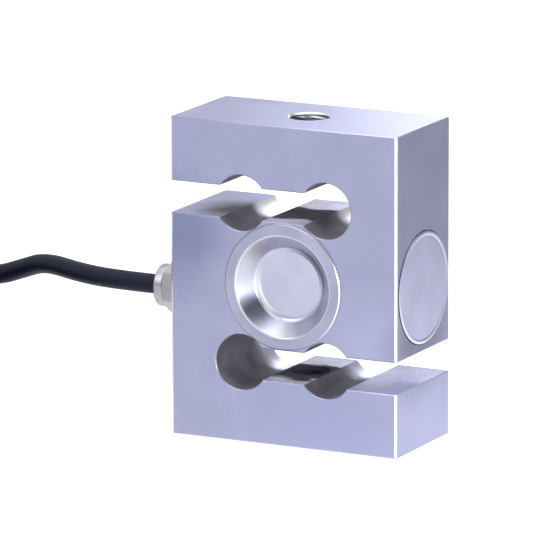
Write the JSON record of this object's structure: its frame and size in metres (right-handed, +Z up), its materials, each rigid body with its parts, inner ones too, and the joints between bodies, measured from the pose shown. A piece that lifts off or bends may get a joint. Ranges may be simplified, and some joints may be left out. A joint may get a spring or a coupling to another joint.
{
  "type": "s type load cell",
  "caption": "S-shaped steel load cell with threaded holes top and bottom, slots ended by round lobes, sealed cup covers, a cable gland and a coiled lead.",
  "frame": {"origin": "centre of the bottom threaded hole at the bottom loading face", "axes": "+Z up the load axis to the top threaded hole, -Y out of the front cup cover, +X out of the side cover, -X out of the cable gland"},
  "size_m": [0.1869, 0.078, 0.08],
  "materials": {
    "body_steel": "satin",
    "cup_steel": "polished",
    "side_disc_steel": "satin",
    "gland_steel": "satin",
    "seal_rubber": "matte",
    "washer_plastic": "satin",
    "cable_jacket": "satin",
    "sleeve_plastic": "matte",
    "tie_plastic": "satin",
    "core_red": "gloss",
    "core_black": "gloss",
    "core_green": "gloss",
    "core_white": "gloss",
    "tinned_copper": "satin",
    "gauge_film": "gloss",
    "terminal_copper": "satin",
    "lead_enamel": "gloss",
    "board_laminate": "satin",
    "pad_foam": "matte",
    "resistor_ceramic": "satin"
  },
  "bodies": {
    "root": {"body": "body_steel", "front_cup_cover": "cup_steel", "rear_cup_cover": "cup_steel", "side_cover": "side_disc_steel", "board_pad": "pad_foam", "compensation_board": "board_laminate", "zero_balance_resistor": "resistor_ceramic", "span_resistor": "resistor_ceramic", "zero_temperature_resistor": "resistor_ceramic", "span_temperature_resistor": "resistor_ceramic", "gland_body": "gland_steel", "gland_seal": "seal_rubber", "gland_washer": "washer_plastic", "gland_nut": "gland_steel", "gland_o_ring": "seal_rubber", "cable_in_gland": "cable_jacket", "cable_lead": "cable_jacket", "cable_coil": "cable_jacket", "cable_tail": "cable_jacket", "cable_end_sleeve": "sleeve_plastic", "coil_tie_1": "tie_plastic", "coil_tie_2": "tie_plastic", "strain_gauge_upper_right": "gauge_film", "terminal_upper_right": "terminal_copper", "gauge_lead_upper_right": "lead_enamel", "strain_gauge_upper_left": "gauge_film", "terminal_upper_left": "terminal_copper", "gauge_lead_upper_left": "lead_enamel", "strain_gauge_lower_left": "gauge_film", "terminal_lower_left": "terminal_copper", "gauge_lead_lower_left": "lead_enamel", "strain_gauge_lower_right": "gauge_film", "terminal_lower_right": "terminal_copper", "gauge_lead_lower_right": "lead_enamel", "bridge_wire_red": "core_red", "tail_core_red": "core_red", "bridge_wire_black": "core_black", "tail_core_black": "core_black", "bridge_wire_green": "core_green", "tail_core_green": "core_green", "bridge_wire_white": "core_white", "tail_core_white": "core_white", "tail_core_drain": "tinned_copper"}
  },
  "joints": []
}
